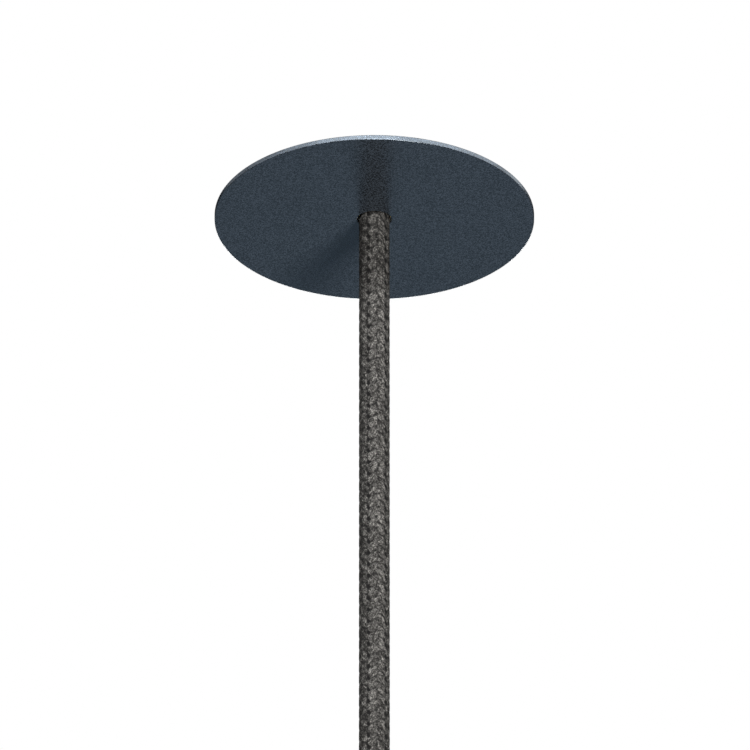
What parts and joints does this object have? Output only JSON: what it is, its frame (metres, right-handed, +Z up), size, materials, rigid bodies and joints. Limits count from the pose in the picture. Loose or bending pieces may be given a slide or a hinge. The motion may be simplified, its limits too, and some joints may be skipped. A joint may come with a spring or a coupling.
{
  "type": "ceiling cable outlet cap",
  "caption": "Flat round painted steel cap that covers the cable outlet in a ceiling, with a hanging textile cable through its centre hole and a spring bracket and cord grip behind it.",
  "frame": {"origin": "centre of the disc's back face, in the plane of the ceiling", "axes": "+Z straight up into the ceiling along the cable, +X along the spring bracket, the grip's screw towards +Y"},
  "size_m": [0.07, 0.07, 0.1986],
  "materials": {
    "slate_paint": "fine textured powder coat, satin",
    "zinc_plate": "zinc plated",
    "spring_steel": "bright rolled",
    "natural_nylon": "moulded, slightly translucent",
    "grey_braid": "braided textile",
    "black_sheath": "extruded, matte",
    "brown_insulation": "extruded, satin",
    "blue_insulation": "extruded, satin",
    "green_insulation": "extruded, satin, with a yellow stripe",
    "tinned_copper": "tin plated"
  },
  "bodies": {
    "root": {"cover_disc": "slate_paint", "stud_left": "zinc_plate", "stud_right": "zinc_plate", "washer_left": "zinc_plate", "washer_right": "zinc_plate", "nut_left": "zinc_plate", "nut_right": "zinc_plate", "grip_locknut": "zinc_plate", "fitting_locknut": "zinc_plate", "spring_bracket": "spring_steel", "grip_body": "natural_nylon", "grip_screw": "natural_nylon", "fitting_body": "natural_nylon", "fitting_screw": "natural_nylon", "cable": "grey_braid", "upper_sheath": "black_sheath", "lower_sheath": "black_sheath", "upper_live_core": "brown_insulation", "lower_live_core": "brown_insulation", "upper_neutral_core": "blue_insulation", "lower_neutral_core": "blue_insulation", "upper_earth_core": "green_insulation", "lower_earth_core": "green_insulation", "upper_live_ferrule": "tinned_copper", "upper_neutral_ferrule": "tinned_copper", "upper_earth_ferrule": "tinned_copper", "lower_live_ferrule": "tinned_copper", "lower_neutral_ferrule": "tinned_copper", "lower_earth_ferrule": "tinned_copper"}
  },
  "joints": []
}
